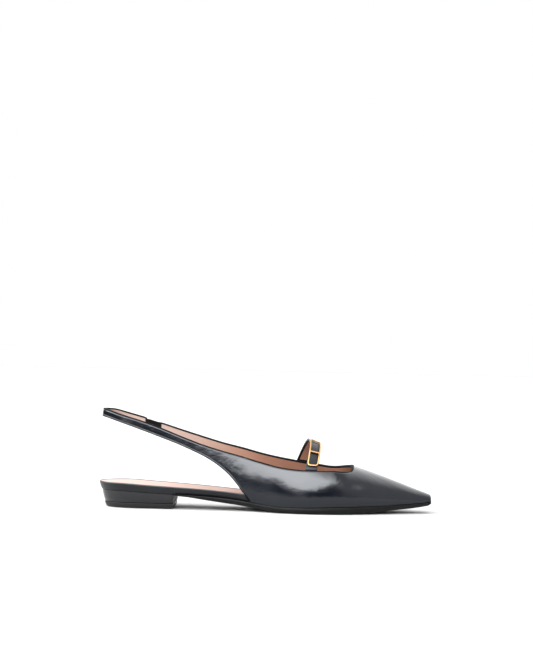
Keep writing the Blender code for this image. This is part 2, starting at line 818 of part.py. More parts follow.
def make_top_lift(material):
    """Rubber top lift, flat on the floor."""
    top_inset = BAND_TAPER + BLOCK_SETBACK + HEEL_TAPER
    floor_inset = top_inset + LIFT_TAPER
    rings = []
    for turn in spread(0.0, math.pi / 2.0, 4):
        set_in = LIFT_ROUND * (1.0 - math.sin(turn))
        z = LIFT_ROUND * (1.0 - math.cos(turn))
        inset = mix(floor_inset, top_inset, z / TOP_LIFT_THICKNESS) + set_in
        rings.append(seat_ring(inset, breast_at(z) - set_in, lambda x, level=z: level))
    rings.append(seat_ring(top_inset, breast_at(TOP_LIFT_THICKNESS), lambda x: TOP_LIFT_THICKNESS))
    return new_object("top_lift", stacked(rings), material)


def board_underside(x):
    """The board lies on the heel behind its breast and on the outsole before it."""
    if x <= HEEL_FRONT:
        return seat_line(x / SHOE_LENGTH)
    return sole_top(x / SHOE_LENGTH) + GAP


def wall_inset(x):
    """How far the insole stands in from the sole's edge to clear the upper's wall."""
    toe = min(max((x - TOE_EASE_START) / TOE_EASE_RUN, 0.0), 1.0)
    return FEATHER_SET + UPPER_WALL + 2.0 * GAP + TOE_EASE * toe


def board_ring(band_inset, level):
    """Ring of the board at a level from its underside (0) to its top (1).

    The wrapped band ends in a slanted step where the upper's wall begins.
    """
    def height(x):
        return mix(board_underside(x), board_top(x / SHOE_LENGTH), level)

    band_end = BAND_END + BAND_END_SLANT * (1.0 - level)
    ring = []
    for side in (LATERAL, MEDIAL):
        edge = sole_medial if side == MEDIAL else sole_lateral
        points = seat_line_points(side, band_inset, band_end, height, 12)
        fore = spread(band_end + BAND_STEP, BOARD_END, 22)
        for x in fore:
            points.append(Vector((x, side * (edge(x / SHOE_LENGTH) - wall_inset(x)), height(x))))
        ring.append(points)
    return ring


def make_insole_board(material):
    """Leather-wrapped insole board, whose edge shows as a band behind the quarters."""
    rings = [
        board_ring(BAND_TAPER, 0.0),
        board_ring(BAND_TAPER * 0.45, 0.4),
        board_ring(0.0, 0.85),
        board_ring(EDGE_BEVEL, 1.0),
    ]
    return new_object("insole_board", stacked(rings), material)


def sock_inset(x):
    """The sock stands in from the band's edge, and further in between the walls."""
    past = x - (BAND_END - SOCK_NARROWING)
    between = min(max(past / SOCK_NARROWING_RUN, 0.0), 1.0)
    return mix(SOCK_INSET, wall_inset(x) + GAP, between)


def sock_ring(extra, lift):
    def height(x):
        return board_top(x / SHOE_LENGTH) + GAP + lift

    ring = []
    for side in (LATERAL, MEDIAL):
        edge = sole_medial if side == MEDIAL else sole_lateral
        narrowing = BAND_END - SOCK_NARROWING
        points = seat_line_points(side, SOCK_INSET + extra, narrowing, height, 9)
        for x in spread(narrowing, SOCK_END, 29)[1:]:
            y = side * (edge(x / SHOE_LENGTH) - sock_inset(x) - extra)
            points.append(Vector((x, y, height(x))))
        ring.append(points)
    return ring


def make_sock(material):
    """Thin leather sock on the insole board."""
    rings = [sock_ring(0.0, 0.0), sock_ring(0.0, SOCK_THICKNESS * 0.6),
             sock_ring(SOCK_THICKNESS * 0.4, SOCK_THICKNESS)]
    return new_object("sock", stacked(rings), material)


def outsole_ring(level, inset):
    """Ring of the outsole at a level from its underside (0) to its top (1)."""
    ring = []
    places = spread(place_of(HEEL_FRONT + GAP), 1.0, 40) + spread(CORNER_RING_START, 2.0, 4)
    for side in (LATERAL, MEDIAL):
        points = []
        for place in places:
            x, at, shrink = toe_corner(place)
            toe = max(at - TOE_BEVEL_START, 0.0) / (1.0 - TOE_BEVEL_START)
            x -= inset * toe
            z = mix(sole_underside(x / SHOE_LENGTH), sole_top(x / SHOE_LENGTH), level)
            edge = sole_medial if side == MEDIAL else sole_lateral
            width = edge(at) - shrink - inset * mix(1.0, TOE_BEVEL_SHARE, toe)
            points.append(Vector((x, side * width, z)))
        ring.append(points)
    return ring


def make_outsole(material):
    """Outsole from the heel's breast to the toe, with a bevelled lower edge."""
    bevel = SOLE_BEVEL_WIDTH
    rings = [
        outsole_ring(0.0, bevel),
        outsole_ring(SOLE_BEVEL_SHARE, EDGE_BEVEL),
        outsole_ring(SOLE_BEVEL_SHARE + 0.1, 0.0),
        outsole_ring(1.0, 0.0),
    ]
    return new_object("outsole", stacked(rings), material)


def finish(name, colour, roughness, metallic=0.0):
    """Plain surface with a colour, a roughness and a metallic value."""
    material = bpy.data.materials.new(name)
    material.use_nodes = True
    shader = material.node_tree.nodes["Principled BSDF"]
    shader.inputs["Base Color"].default_value = (*colour, 1.0)
    shader.inputs["Roughness"].default_value = roughness
    shader.inputs["Metallic"].default_value = metallic
    return material


def clear_scene():
    for piece in list(bpy.data.objects):
        bpy.data.objects.remove(piece, do_unlink=True)


def main():
    clear_scene()
    make_upper(finish("black_calf", (0.016, 0.018, 0.023), 0.28))
    make_insole_board(finish("black_wrap", (0.018, 0.019, 0.023), 0.35))
    make_outsole(finish("black_sole", (0.014, 0.014, 0.015), 0.45))
    make_sock(finish("nude_sock", (0.80, 0.58, 0.49), 0.5))
    make_heel_block(finish("black_heel", (0.014, 0.015, 0.018), 0.2))
    make_top_lift(finish("black_lift", (0.010, 0.010, 0.011), 0.5))
    make_elastic(finish("black_elastic", (0.012, 0.012, 0.010), 0.8))
    make_instep_strap(finish("black_strap", (0.016, 0.018, 0.023), 0.3))
    make_strap_frame(finish("pale_gold", (0.90, 0.63, 0.28), 0.18, 1.0))


main()
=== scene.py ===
import math
from collections import namedtuple
from contextlib import contextmanager

import bmesh
import bpy
from mathutils import Matrix, Vector
from mathutils.kdtree import KDTree


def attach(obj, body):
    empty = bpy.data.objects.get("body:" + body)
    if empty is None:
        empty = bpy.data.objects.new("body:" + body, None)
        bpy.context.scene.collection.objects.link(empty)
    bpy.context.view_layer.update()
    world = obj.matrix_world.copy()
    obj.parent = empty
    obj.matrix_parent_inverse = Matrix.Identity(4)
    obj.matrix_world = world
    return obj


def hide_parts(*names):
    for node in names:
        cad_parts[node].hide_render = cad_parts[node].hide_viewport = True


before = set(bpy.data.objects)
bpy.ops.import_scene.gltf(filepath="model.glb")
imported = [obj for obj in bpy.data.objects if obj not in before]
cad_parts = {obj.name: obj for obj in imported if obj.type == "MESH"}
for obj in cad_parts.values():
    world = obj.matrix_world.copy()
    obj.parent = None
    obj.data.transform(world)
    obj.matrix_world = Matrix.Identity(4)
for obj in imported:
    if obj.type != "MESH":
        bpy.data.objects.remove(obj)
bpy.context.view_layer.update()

MM = 0.001
WHITE_COLOUR = (1.0, 1.0, 1.0)

# Camera: level, turned a little towards the heel, rolled so that the floor dips as in the
# photograph, and standing lower than the middle of its picture
VIEW_TURN = math.radians(2.5)
VIEW_ROLL = math.radians(1.2)
VIEW_DISTANCE = 1.3
VIEW_CENTRE = Vector((-0.0013, 0.0, 0.1438))
VIEW_HEIGHT = 0.5429
VIEW_DROP = 0.024
SENSOR = 36.0

# Light: radiance of the studio's parts as soft light and as seen in polished surfaces, the
# plain white behind the shoe, the floor's share of light given back, and how far the floor
# reaches before the shoe. The sun is a weak lamp with a wide disc, placed by its direction.
Glow = namedtuple("Glow", "soft shine")
PANEL = Glow(5.0, 13.0)
SIDE = Glow(0.5, 1.1)
BACK = Glow(0.8, 2.5)
TOP = Glow(0.2, 3.0)
ROOM = Glow(0.2, 0.06)
WHITE = 1.0
FLOOR_SHADE = 0.66
FLOOR_RADIUS = 9.0
FLOOR_FRONT = 0.8
SUN_PLACE = (-0.35, -0.60, 0.70)
SUN_WIDTH = math.radians(60.0)
SUN_ENERGY = 0.6

# Soft edges of the studio's parts. Turns are degrees round the shoe, from the camera's side (0)
# to the toe's side (90); lifts are degrees above the floor. The panel's right edge leans: its
# turn is the lesser of two lines over the lift, each with a slope and a start. Its lower edge
# rises towards the left, and its upper part is dimmer.
PANEL_LOW = (2.5, 8.0)
PANEL_LOW_RISE = 6.0
PANEL_LOW_RISE_TURN = (-40.0, -14.0)
PANEL_LEFT = (-128.0, -98.0)
PANEL_RIGHT_LINES = ((3.6, -39.0), (1.3, -8.3))
PANEL_RIGHT = (-8.0, 8.0)
PANEL_TOP = (34.0, 58.0)
PANEL_TOP_DIMMING = 0.7
PANEL_CORNER_LIFT = (34.0, 44.0)
PANEL_CORNER_TURN = (10.0, 26.0)
PANEL_CORNER_DIMMING = 0.5
SIDE_TURN = (20.0, 45.0)

# The same for parts that are set by how far a direction points along an axis, from -1 to 1
BEHIND_ALONG = (-0.05, 0.5)
BEHIND_ACROSS = (-0.6, -0.15)
OVERHEAD = (0.90, 0.98)

# Skins made from the CAD's triangles: points this near are one, and faces that meet at more
# than the sharp angle belong to different sheets
MERGE = 0.01 * MM
SHARP = math.radians(50.0)
QUAD_FLATNESS = math.radians(60.0)
QUAD_SHAPE = math.radians(120.0)

# Share of a direction along an axis from which a face looks that way, or an edge runs that way
FACING = 0.8
UPRIGHT = 0.7

# Edges that are rounded, and angles below which faces are shaded as one surface, in degrees
BEVEL_ANGLE = 30.0
HARD_SHADING = 35.0
LINING_SHADING = 40.0
SKIN_SHADING = 60.0

# Upper and linings
POINT_STEP = 0.5 * MM
RIM_BEVEL = 0.42 * MM
LINING_DROP = 1.3 * MM
LINING_THICKNESS = 0.3 * MM
EDGE_PAINT = 1.1 * MM
EDGE_LINE = 1.3 * MM
LINE_SLOPE = 0.5 * MM
LINE_FOOT = 9.0 * MM
STRAP_LINING_DROP = 1.9 * MM

# Sock, band, elastic and heel
SOCK_SINK = 1.6 * MM
SOCK_RIM = 0.9 * MM
SOCK_RECESS = 1.5 * MM
ELASTIC_TUCK = 1.2 * MM
ELASTIC_BEVEL = 0.15 * MM
HEEL_CORNER = 2.0 * MM
HEEL_CORNER_RUN = 12.0 * MM
HEEL_BEVEL = 0.45 * MM
HEEL_BEVEL_ANGLE = 40.0
BAND_BEVEL = 0.3 * MM
SOCK_BEVEL = 0.25 * MM
SOLE_BEVEL = 0.3 * MM
LIFT_BEVEL = 0.35 * MM

# Instep strap and its frame
STRAP_BEVEL = 0.4 * MM
FRAME_BEVEL = 0.3 * MM

# Face indices of the upper's sheets, which are also its materials' places
SKIN, INSIDE, RIM = 0, 1, 2


class Number:
    """A shader number that Python's operators work on; each operator adds a Math node."""

    def __init__(self, look, socket):
        self.look = look
        self.socket = socket

    def maths(self, operation, first, second=0.0):
        node = self.look.node("ShaderNodeMath", {"operation": operation}, {0: first, 1: second})
        return Number(self.look, node.outputs[0])

    def __add__(self, other):
        return self.maths("ADD", self, other)

    def __radd__(self, other):
        return self.maths("ADD", other, self)

    def __sub__(self, other):
        return self.maths("SUBTRACT", self, other)

    def __rsub__(self, other):
        return self.maths("SUBTRACT", other, self)

    def __mul__(self, other):
        return self.maths("MULTIPLY", self, other)

    def __rmul__(self, other):
        return self.maths("MULTIPLY", other, self)

    def rise(self, low, high):
        """0 below low and 1 above high, with a soft slope between."""
        node = self.look.node(
            "ShaderNodeMapRange", {"interpolation_type": "SMOOTHSTEP"},
            {"Value": self, "From Min": low, "From Max": high, "To Min": 0.0, "To Max": 1.0})
        return Number(self.look, node.outputs["Result"])

    def sine(self):
        return self.maths("SINE", self)

    def least(self, other):
        return self.maths("MINIMUM", self, other)


class Look:
    """A node tree that is built up one node at a time."""

    def __init__(self, tree):
        self.tree = tree

    def node(self, kind, settings, inputs):
        """Adds a node, sets it up, and then feeds its sockets with values or links."""
        node = self.tree.nodes.new(kind)
        for name, value in settings.items():
            setattr(node, name, value)
        for name, value in inputs.items():
            self.feed(node.inputs[name], value)
        return node

    def feed(self, socket, value):
        if isinstance(value, Number):
            value = value.socket
        if isinstance(value, bpy.types.NodeSocket):
            self.tree.links.new(value, socket)
        else:
            socket.default_value = value

    def place(self):
        """Place on the piece in metres."""
        return self.node("ShaderNodeTexCoord", {}, {}).outputs["Object"]

    def axes(self, vector):
        parts = self.node("ShaderNodeSeparateXYZ", {}, {"Vector": vector})
        return [Number(self, parts.outputs[axis]) for axis in "XYZ"]

    def stretched(self, scale):
        """Place on the piece, squeezed along each axis by a scale."""
        mapping = self.node("ShaderNodeMapping", {}, {"Vector": self.place(), "Scale": scale})
        return mapping.outputs["Vector"]

    def noise(self, size, detail=2.0, rough=0.5, at=None):
        """Cloudy number from 0 to 1 whose blotches have a size in metres."""
        at = self.place() if at is None else at
        node = self.node("ShaderNodeTexNoise", {},
                         {"Vector": at, "Scale": 1.0 / size, "Detail": detail, "Roughness": rough})
        return Number(self, node.outputs["Fac"])

    def cells(self, size):
        """Distance to the middle of the nearest cell, for cells of a size in metres."""
        node = self.node("ShaderNodeTexVoronoi", {}, {"Vector": self.place(), "Scale": 1.0 / size})
        return Number(self, node.outputs["Distance"])

    def attribute(self, name):
        node = self.node("ShaderNodeAttribute", {"attribute_name": name}, {})
        return Number(self, node.outputs["Fac"])

    def mixed(self, share, first, second):
        """A colour between two colours."""
        node = self.node("ShaderNodeMix", {"data_type": "RGBA"},
                         {0: share, 6: colour_of(first), 7: colour_of(second)})
        return node.outputs[2]

    def bump(self, height, depth, below=None):
        """Normal of a relief whose height from 0 to 1 spans a depth in metres."""
        inputs = {"Height": height, "Distance": depth, "Strength": 1.0}
        if below is not None:
            inputs["Normal"] = below
        return self.node("ShaderNodeBump", {}, inputs).outputs["Normal"]


def colour_of(value):
    return (*value, 1.0) if isinstance(value, tuple) and len(value) == 3 else value


class Finish(Look):
    """A material whose one Principled shader is fed by nodes or by plain values."""

    def __init__(self, name):
        self.material = bpy.data.materials.new(name)
        self.material.use_nodes = True
        super().__init__(self.material.node_tree)
        self.shader = self.tree.nodes["Principled BSDF"]

    def set(self, **sockets):
        """Feeds the shader's sockets, named with _ for each space."""
        for name, value in sockets.items():
            self.feed(self.shader.inputs[name.replace("_", " ")], colour_of(value))
        return self


def calf_leather(name, deep, worn, gloss, sheen=0.45, edge=False):
    """Smooth dyed calf: fine pores, a faint uneven surface and, if edge, a line pressed beside it."""
    look = Finish(name)
    patches = look.noise(14.0 * MM, 3.0)
    pores = look.noise(0.45 * MM, 2.0, 0.6)
    relief = look.bump(look.noise(9.0 * MM, 1.0), 0.15 * MM)
    relief = look.bump(look.noise(3.2 * MM, 2.0, 0.5), 0.055 * MM, relief)
    relief = look.bump(look.noise(1.4 * MM, 1.0), 0.030 * MM, relief)
    relief = look.bump(look.cells(0.9 * MM), 0.010 * MM, relief)
    relief = look.bump(pores, 0.006 * MM, relief)
    if edge:
        rim = look.attribute("rim")
        fold = rim.rise(EDGE_LINE - LINE_SLOPE, EDGE_LINE) - rim.rise(EDGE_LINE, EDGE_LINE + LINE_SLOPE)
        relief = look.bump(1.0 - fold, 0.14 * MM, relief)
    return look.set(
        Base_Color=look.mixed(patches.rise(0.35, 0.75), deep, worn),
        Roughness=gloss + 0.07 * patches + 0.04 * pores,
        Specular_IOR_Level=sheen,
        Specular_Tint=(0.94, 0.97, 1.0),
        Normal=relief,
    ).material


def lining_leather(name, pale, deep_shade, shade_reach, gleam=0.3):
    """Undyed lining leather: matt, with pores, soft clouding, and painted shade that makes it darker and
    warmer towards the toe, deeper in the shoe.
    """
    look = Finish(name)
    clouds = look.noise(12.0 * MM, 3.0)
    pores = look.noise(0.5 * MM, 3.0, 0.6)
    inner_shade = look.axes(look.place())[0].rise(*shade_reach)
    relief = look.bump(clouds, 0.15 * MM)
    relief = look.bump(pores, 0.02 * MM, relief)
    return look.set(
        # Painted shade: the colour goes from pale to darker and warmer towards the toe, where the shoe is
        # deeper
        Base_Color=look.mixed(0.9 * inner_shade + 0.1 * clouds, pale, deep_shade),
        Roughness=0.55 + 0.15 * pores,
        Specular_IOR_Level=gleam,
        Normal=relief,
    ).material


def sole_leather(name):
    """Black sole: dyed fibre, a little paler in patches."""
    look = Finish(name)
    fibres = look.noise(1.0, 4.0, 0.6, look.stretched((250.0, 900.0, 900.0)))
    patches = look.noise(18.0 * MM, 3.0)
    relief = look.bump(fibres, 0.03 * MM)
    return look.set(
        Base_Color=look.mixed(patches.rise(0.4, 0.8), (0.004, 0.004, 0.0045), (0.008, 0.0078, 0.0078)),
        Roughness=0.34 + 0.2 * fibres,
        Specular_IOR_Level=0.15,
        Normal=relief,
    ).material


def breast_leather(name):
    """Glazed leather over the heel's front face, in fine upright pleats, with painted highlight: its
    colour is lighter on each pleat's crest, standing in for reflections.
    """
    look = Finish(name)
    folds_and_gleam = look.noise(1.0, 1.0, 0.5, look.stretched((450.0, 450.0, 25.0)))
    return look.set(
        # Painted highlight: the pale colour on the fold crests stands in for the glaze's reflected
        # streaks
        Base_Color=look.mixed(folds_and_gleam.rise(0.35, 0.65), (0.010, 0.010, 0.011), (0.14, 0.135, 0.125)),
        Roughness=0.35 + 0.2 * folds_and_gleam,
        Specular_IOR_Level=0.04,
        Normal=look.bump(folds_and_gleam, 0.5 * MM),
    ).material


def heel_leather(name):
    """Polished leather over the heel."""
    look = Finish(name)
    pores = look.noise(0.5 * MM, 2.0)
    waves = look.noise(7.0 * MM, 1.0)
    relief = look.bump(waves, 0.05 * MM)
    relief = look.bump(pores, 0.006 * MM, relief)
    return look.set(
        Base_Color=look.mixed(waves.rise(0.3, 0.7), (0.004, 0.0045, 0.006), (0.007, 0.0076, 0.0095)),
        Roughness=0.14 + 0.08 * pores,
        Normal=relief,
    ).material


def lift_rubber(name):
    """Hard black rubber with a fine moulded speckle."""
    look = Finish(name)
    speckle = look.noise(0.35 * MM, 2.0)
    return look.set(
        Base_Color=look.mixed(speckle.rise(0.45, 0.7), (0.005, 0.005, 0.0055), (0.010, 0.010, 0.010)),
        Roughness=0.42 + 0.15 * speckle,
        Specular_IOR_Level=0.35,
        Normal=look.bump(speckle, 0.015 * MM),
    ).material


def elastic_weave(name):
    """Woven elastic: cords along its length, crossed by a fine weft, with painted shade in the grooves
    between the cords.
    """
    look = Finish(name)
    along, _, up = look.axes(look.place())
    cords = (up * (2.0 * math.pi / (0.8 * MM))).sine() * 0.5 + 0.5
    weft = (along * (2.0 * math.pi / (0.5 * MM))).sine() * 0.5 + 0.5
    relief = look.bump(cords, 0.12 * MM)
    relief = look.bump(weft, 0.05 * MM, relief)
    return look.set(
        # Painted shade: darker in the grooves between the cords, lighter on their crests
        Base_Color=look.mixed(cords.rise(0.2, 0.9), (0.003, 0.003, 0.0028), (0.008, 0.0078, 0.007)),
        Roughness=0.72 + 0.15 * weft,
        Specular_IOR_Level=0.05,
        Normal=relief,
    ).material


def gold_plating(name):
    """Polished pale gold with very faint waves and hairlines."""
    look = Finish(name)
    waves = look.noise(3.0 * MM, 1.0)
    lines = look.noise(1.0, 2.0, 0.5, look.stretched((400.0, 2500.0, 2500.0)))
    return look.set(
        Base_Color=look.mixed(waves.rise(0.3, 0.7), (0.44, 0.25, 0.11), (0.36, 0.20, 0.085)),
        Metallic=1.0,
        Roughness=0.24 + 0.08 * lines,
        Normal=look.bump(lines, 0.004 * MM),
    ).material


def floor_paper(name):
    look = Finish(name)
    fibre = look.noise(2.0 * MM, 3.0)
    return look.set(
        Base_Color=look.mixed(fibre, (FLOOR_SHADE - 0.01,) * 3, (FLOOR_SHADE + 0.01,) * 3),
        Roughness=0.9,
        Specular_IOR_Level=0.2,
    ).material


def only(piece):
    """Selects one piece and nothing else."""
    if bpy.context.object is not None and bpy.context.object.mode != "OBJECT":
        bpy.ops.object.mode_set(mode="OBJECT")
    bpy.ops.object.select_all(action="DESELECT")
    piece.select_set(True)
    bpy.context.view_layer.objects.active = piece


def applied(piece, kind, **settings):
    """Adds a modifier to a piece and applies it."""
    only(piece)
    modifier = piece.modifiers.new(kind.lower(), kind)
    for name, value in settings.items():
        setattr(modifier, name, value)
    bpy.ops.object.modifier_apply(modifier=modifier.name)


def shaded(piece, angle=HARD_SHADING):
    only(piece)
    bpy.ops.object.shade_smooth_by_angle(angle=math.radians(angle))


def rounded(piece, width, segments=3, angle=BEVEL_ANGLE):
    """Rounds a piece's edges, and shades it with hard edges."""
    applied(piece, "BEVEL", width=width, segments=segments, limit_method="ANGLE",
            angle_limit=math.radians(angle), use_clamp_overlap=True)
    shaded(piece)
    return piece


@contextmanager
def opened(piece):
    """A piece's mesh to work on, written back afterwards."""
    shape = bmesh.new()
    shape.from_mesh(piece.data)
    yield shape
    shape.to_mesh(piece.data)
    shape.free()


def new_piece(name, mesh, materials):
    piece = bpy.data.objects.new(name, mesh)
    bpy.context.scene.collection.objects.link(piece)
    piece.data.materials.clear()
    for material in materials:
        piece.data.materials.append(material)
    return piece


def merged_copy(node, name, materials):
    """A copy of a CAD node, its loose triangles merged into one skin of quads."""
    piece = new_piece(name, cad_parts[node].data.copy(), materials)
    only(piece)
    if piece.data.has_custom_normals:
        bpy.ops.mesh.customdata_custom_splitnormals_clear()
    bpy.ops.object.mode_set(mode="EDIT")
    bpy.ops.mesh.select_all(action="SELECT")
    bpy.ops.mesh.remove_doubles(threshold=MERGE)
    bpy.ops.mesh.tris_convert_to_quads(face_threshold=QUAD_FLATNESS, shape_threshold=QUAD_SHAPE)
    bpy.ops.object.mode_set(mode="OBJECT")
    return piece


def bevelled(node, name, material, width):
    return rounded(merged_copy(node, name, [material]), width)


def on_shoe(piece, node_names):
    """Puts a piece on the shoe in place of its CAD nodes."""
    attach(piece, "root")
    if node_names:
        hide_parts(*node_names)


def joined_groups(items, neighbours):
    """Groups of items that are joined through their neighbours."""
    left = set(items)
    groups = []
    while left:
        stack = [left.pop()]
        group = []
        while stack:
            item = stack.pop()
            group.append(item)
            for other in neighbours(item):
                if other in left:
                    left.discard(other)
                    stack.append(other)
        groups.append(group)
    return groups


def faces_beside(face):
    """Faces that meet a face without a sharp edge."""
    return [other for edge in face.edges
            if len(edge.link_faces) == 2 and edge.calc_face_angle(0.0) <= SHARP
            for other in edge.link_faces]


def edges_beside(edge):
    return [other for vertex in edge.verts for other in vertex.link_edges]


def flat_groups(shape):
    """Groups of faces that meet without a sharp edge, the largest first."""
    groups = joined_groups(shape.faces, faces_beside)
    groups.sort(key=lambda group: -sum(face.calc_area() for face in group))
    return groups


def faces_out(group):
    """Whether a group of faces looks away from the shoe's middle."""
    return sum(face.normal.y * face.calc_center_median().y * face.calc_area() for face in group) > 0.0


def dense_points(edges):
    """Points spread evenly along edges."""
    points = []
    for edge in edges:
        first, last = (vertex.co for vertex in edge.verts)
        count = max(int((last - first).length / POINT_STEP), 1)
        points += [first.lerp(last, k / count) for k in range(count)]
    return points


def distances(vertices, points):
    """Each vertex's distance to the nearest of some points."""
    tree = KDTree(len(points))
    for index, point in enumerate(points):
        tree.insert(point, index)
    tree.balance()
    return [tree.find(vertex.co)[2] for vertex in vertices]


def lower_border(edges):
    """The one of a sheet's closed borders that reaches lowest: the sling's underside and back cuts."""
    loops = joined_groups(edges, edges_beside)
    return min(loops, key=lambda loop: min(vertex.co.z for edge in loop for vertex in edge.verts))


def mark_sheets(shape):
    """Gives the skin, the inner sheet and the rims each their own face index."""
    for face in shape.faces:
        face.material_index = RIM
    for group in flat_groups(shape)[:2]:
        index = SKIN if faces_out(group) else INSIDE
        for face in group:
            face.material_index = index


def sheet_border(shape, sheet):
    """Edges between a sheet and the rims."""
    return [edge for edge in shape.edges
            if len(edge.link_faces) == 2
            and sorted(face.material_index for face in edge.link_faces) == sorted((sheet, RIM))]


def cut_along(shape, distance, level):
    """Cuts the faces along the line where a vertex's distance reaches a level."""
    fresh = set()
    for edge in list(shape.edges):
        first, last = edge.verts
        before, after = distance[first] - level, distance[last] - level
        if before * after < 0.0:
            split, vertex = bmesh.utils.edge_split(edge, first, before / (before - after))
            distance[vertex] = level
            fresh.add(vertex)
    for face in list(shape.faces):
        ends = [vertex for vertex in face.verts if vertex in fresh]
        if len(ends) == 2 and not any(edge.other_vert(ends[0]) is ends[1] for edge in ends[0].link_edges):
            bmesh.utils.face_split(face, ends[0], ends[1])


def make_upper():
    """The leather shell: the CAD wall with rounded rims and a smooth skin."""
    piece = merged_copy("upper", "upper_leather", [CALF, EDGE, EDGE])
    with opened(piece) as shape:
        mark_sheets(shape)
        skin_border = sheet_border(shape, SKIN)
        inner_border = sheet_border(shape, INSIDE)
        edge_points = dense_points(inner_border)
        line_points = [point for point in dense_points(lower_border(skin_border)) if point.z > LINE_FOOT]
        bmesh.ops.bevel(shape, geom=skin_border + inner_border, offset=RIM_BEVEL, segments=2,
                        profile=0.5, affect="EDGES", clamp_overlap=True, material=RIM)
    applied(piece, "SUBSURF", levels=2, render_levels=2)
    shaded(piece, SKIN_SHADING)
    from_line = distances(piece.data.vertices, line_points)
    rim = piece.data.attributes.new("rim", "FLOAT", "POINT")
    rim.data.foreach_set("value", from_line)
    for face in piece.data.polygons:
        if max(from_line[index] for index in face.vertices) < EDGE_PAINT:
            face.material_index = RIM
    return piece, edge_points


def make_lining(upper, edge_points):
    """Lining leather inside the upper, its edge set down from the rims."""
    lining = new_piece("upper_lining", bpy.data.meshes.new("upper_lining"), [LINING])
    shape = bmesh.new()
    shape.from_mesh(upper.data)
    others = [face for face in shape.faces if face.material_index != INSIDE]
    bmesh.ops.delete(shape, geom=others, context="FACES")
    distance = dict(zip(shape.verts, distances(shape.verts, edge_points)))
    cut_along(shape, distance, LINING_DROP)
    close = [face for face in shape.faces
             if sum(distance[vertex] for vertex in face.verts) < len(face.verts) * (LINING_DROP - MERGE)]
    bmesh.ops.delete(shape, geom=close, context="FACES")
    for face in shape.faces:
        face.material_index = 0
    shape.to_mesh(lining.data)
    shape.free()
    applied(lining, "SOLIDIFY", thickness=LINING_THICKNESS, offset=1.0)
    shaded(lining, LINING_SHADING)
    return lining


def make_strap_lining():
    """Lining leather under the instep strap, set in from its edges."""
    lining = merged_copy("instep_strap", "instep_strap_lining", [LINING])
    with opened(lining) as shape:
        under = set(next(group for group in flat_groups(shape)[:2] if not faces_out(group)))
        bmesh.ops.delete(shape, geom=[face for face in shape.faces if face not in under], context="FACES")
        margin = bmesh.ops.inset_region(shape, faces=list(shape.faces), thickness=STRAP_LINING_DROP,
                                        use_boundary=True, use_even_offset=True)["faces"]
        bmesh.ops.delete(shape, geom=margin, context="FACES")
    applied(lining, "SOLIDIFY", thickness=LINING_THICKNESS, offset=1.0)
    shaded(lining, LINING_SHADING)
    return lining


def make_elastic():
    """The elastic, its ends let into the sling."""
    piece = merged_copy("elastic", "sling_elastic", [ELASTIC])
    with opened(piece) as shape:
        ordered = sorted(shape.verts, key=lambda vertex: vertex.co.x)
        course = (ordered[-1].co - ordered[0].co).normalized()
        shift = {}
        for face in shape.faces:
            facing = face.normal.dot(course)
            if abs(facing) > FACING:
                for vertex in face.verts:
                    shift[vertex] = math.copysign(ELASTIC_TUCK, facing) * course
        for vertex, move in shift.items():
            vertex.co += move
    return rounded(piece, ELASTIC_BEVEL, 2)


def make_band():
    """The leather-wrapped insole board, sunk within a narrow rim to take the sock."""
    piece = merged_copy("insole_board", "wrapped_band", [WRAP])
    with opened(piece) as shape:
        top = [face for face in shape.faces if face.normal.z > FACING]
        bmesh.ops.inset_region(shape, faces=top, thickness=SOCK_RIM, use_boundary=True,
                               use_even_offset=True)
        for vertex in {vertex for face in top for vertex in face.verts}:
            vertex.co.z -= SOCK_RECESS
    return rounded(piece, BAND_BEVEL)


def make_sock():
    """The sock, let into the board."""
    piece = bevelled("sock", "insole_sock", SOCK, SOCK_BEVEL)
    for vertex in piece.data.vertices:
        vertex.co.z -= SOCK_SINK
    return piece


def upright(edge):
    first, last = (vertex.co for vertex in edge.verts)
    return abs((last - first).normalized().z) > UPRIGHT


def make_heel():
    """The covered heel: its upright corners at the breast well rounded, its other edges softly."""
    piece = merged_copy("heel_block", "covered_heel", [HEEL, BREAST])
    with opened(piece) as shape:
        front = max(vertex.co.x for vertex in shape.verts) - HEEL_CORNER_RUN
        corners = [edge for edge in shape.edges
                   if upright(edge)
                   and min(vertex.co.x for vertex in edge.verts) > front
                   and edge.calc_face_angle(0.0) > math.radians(HEEL_BEVEL_ANGLE)]
        bmesh.ops.bevel(shape, geom=corners, offset=HEEL_CORNER, segments=6, profile=0.5,
                        affect="EDGES", clamp_overlap=True)
        for face in shape.faces:
            face.material_index = 1 if face.normal.x > FACING else 0
    return rounded(piece, HEEL_BEVEL, angle=HEEL_BEVEL_ANGLE)


def make_studio():
    """Plain pale floor, and the weak sun."""
    bpy.ops.object.select_all(action="DESELECT")
    bpy.ops.mesh.primitive_circle_add(vertices=96, radius=FLOOR_RADIUS, fill_type="NGON",
                                      location=(0.0, FLOOR_RADIUS - FLOOR_FRONT, 0.0))
    floor = bpy.context.object
    floor.name = "studio_floor"
    floor.data.materials.append(floor_paper("floor_paper"))
    lamp = bpy.data.lights.new("front", "SUN")
    lamp.angle = SUN_WIDTH
    lamp.energy = SUN_ENERGY
    lamp_object = bpy.data.objects.new("front", lamp)
    lamp_object.rotation_euler = Vector(SUN_PLACE).to_track_quat("Z", "Y").to_euler()
    bpy.context.scene.collection.objects.link(lamp_object)


def panel_share(turn, lift):
    """How much of the panel is seen in a direction, from 0 to 1."""
    steep, shallow = (lift * slope + start for slope, start in PANEL_RIGHT_LINES)
    right = turn - steep.least(shallow)
    low = lift - PANEL_LOW_RISE * (1.0 - turn.rise(*PANEL_LOW_RISE_TURN))
    corner = lift.rise(*PANEL_CORNER_LIFT) * turn.rise(*PANEL_CORNER_TURN)
    share = low.rise(*PANEL_LOW) * (1.0 - right.rise(*PANEL_RIGHT)) * turn.rise(*PANEL_LEFT)
    share = share * (1.0 - PANEL_TOP_DIMMING * lift.rise(*PANEL_TOP))
    return share * (1.0 - PANEL_CORNER_DIMMING * corner)


